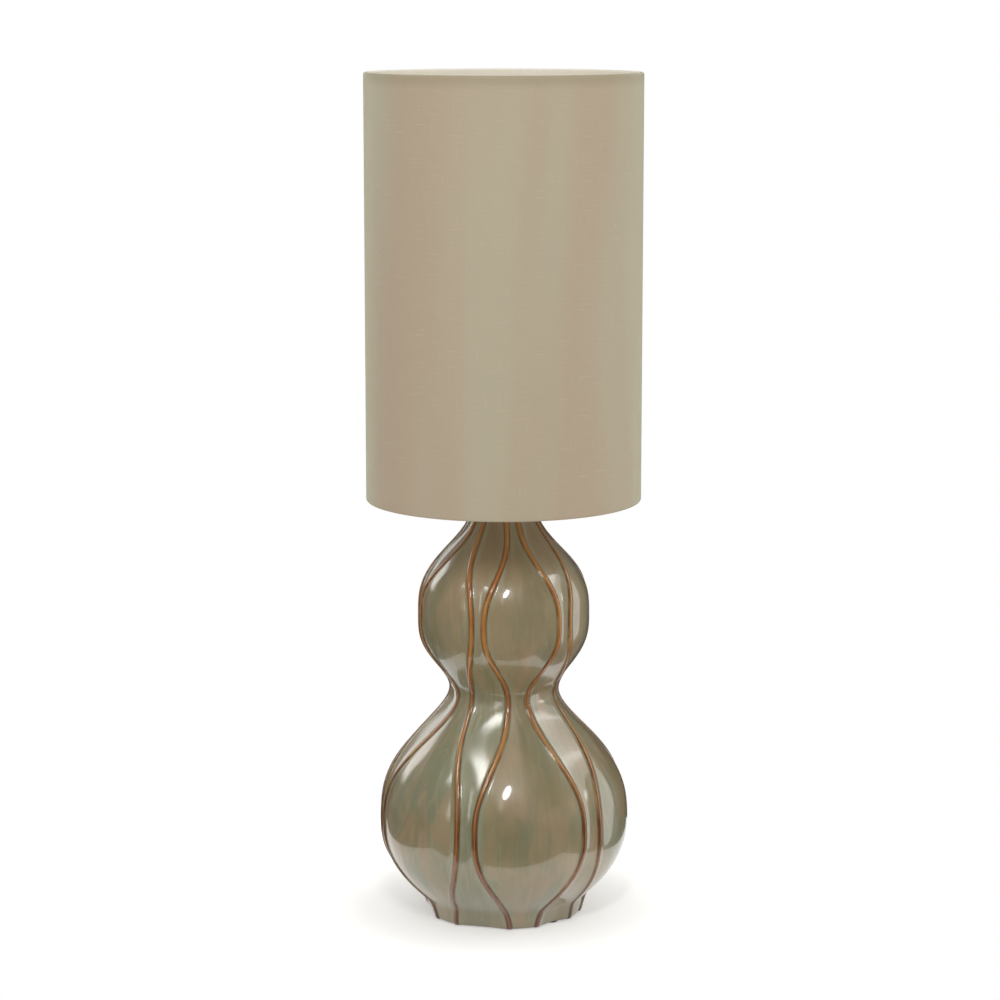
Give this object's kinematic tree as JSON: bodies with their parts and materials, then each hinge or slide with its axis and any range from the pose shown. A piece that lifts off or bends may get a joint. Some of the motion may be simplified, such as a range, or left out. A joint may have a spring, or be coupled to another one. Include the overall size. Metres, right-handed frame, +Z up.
{
  "type": "double gourd table lamp",
  "caption": "Table lamp: a lobed, ribbed double-gourd ceramic body under a tall fabric drum shade on a screw-in lampholder.",
  "frame": {"origin": "on the table under the middle of the foot", "axes": "+Z up along the lamp's axis; the front faces -Y and the cord hole is at the back, 22.25 degrees to the right of +Y"},
  "size_m": [0.22, 0.22, 0.678],
  "materials": {
    "glaze": "gloss",
    "felt": "matt felt",
    "black_rubber": "satin",
    "zinc_steel": "zinc plated",
    "satin_brass": "aged satin",
    "black_moulding": "satin moulding",
    "porcelain": "unglazed",
    "bright_brass": "bright",
    "nickel": "nickel plated",
    "fibre": "vulcanised fibre",
    "shade_silk": "slubbed weave",
    "shade_lining": "satin film",
    "frame_wire": "white epoxy",
    "clear_glass": "clear",
    "black_glass": "gloss",
    "solder": "dull",
    "phosphor": "silicone"
  },
  "bodies": {
    "base": {"gourd_body": "glaze", "foot_pads": "felt", "cord_grommet": "black_rubber", "threaded_rod": "zinc_steel", "base_rubber_washer": "black_rubber", "base_steel_washer": "zinc_steel", "base_lock_washer": "zinc_steel", "base_nut": "zinc_steel", "neck_gasket": "black_rubber", "neck_cap": "satin_brass", "neck_lock_washer": "zinc_steel", "neck_nut": "satin_brass", "holder_cap": "black_moulding", "holder_grub_screw": "zinc_steel", "terminal_block": "porcelain", "wire_terminals": "bright_brass", "terminal_screws": "zinc_steel", "centre_contact": "bright_brass", "side_contact": "bright_brass", "screw_shell": "nickel", "holder_shell": "black_moulding"},
    "seat": {"seat_washer": "fibre"},
    "shade": {"shade_fabric": "shade_silk", "shade_liner": "shade_lining", "shade_top_ring": "frame_wire", "shade_bottom_ring": "frame_wire", "fitter_ring": "frame_wire", "fitter_arms": "frame_wire"},
    "clamp": {"clamp_washer": "fibre"},
    "collar": {"shade_collar": "black_moulding"},
    "bulb_foot": {"bulb_tip": "solder"},
    "bulb": {"bulb_glass": "clear_glass", "bulb_cap": "nickel", "bulb_insulator": "black_glass", "bulb_stem": "clear_glass", "bulb_filaments": "phosphor"}
  },
  "joints": [
    {"name": "shade_turn", "type": "hinge", "parent": "base", "child": "seat", "pos_m": [0, 0, 0.391], "axis": [0, 0, 1], "continuous": true},
    {"name": "shade_lift", "type": "slide", "parent": "seat", "child": "shade", "axis": [0, 0, 1], "range_m": [0, 0.27]},
    {"name": "collar_rise", "type": "slide", "parent": "shade", "child": "clamp", "axis": [0, 0, 1], "range_m": [0, 0.0096]},
    {"name": "collar_turn", "type": "hinge", "parent": "clamp", "child": "collar", "pos_m": [0, 0, 0.3941], "axis": [0, 0, 1], "range_deg": [0, 1140]},
    {"name": "bulb_rise", "type": "slide", "parent": "base", "child": "bulb_foot", "axis": [0, 0, 1], "range_m": [0, 0.01008]},
    {"name": "bulb_turn", "type": "hinge", "parent": "bulb_foot", "child": "bulb", "pos_m": [0, 0, 0.3697], "axis": [0, 0, 1], "range_deg": [0, 990]}
  ],
  "couplings": [
    {"joint": "collar_rise", "follows": "collar_turn", "m_per_rad": 0.00047746},
    {"joint": "bulb_rise", "follows": "bulb_turn", "m_per_rad": 0.00057757}
  ]
}
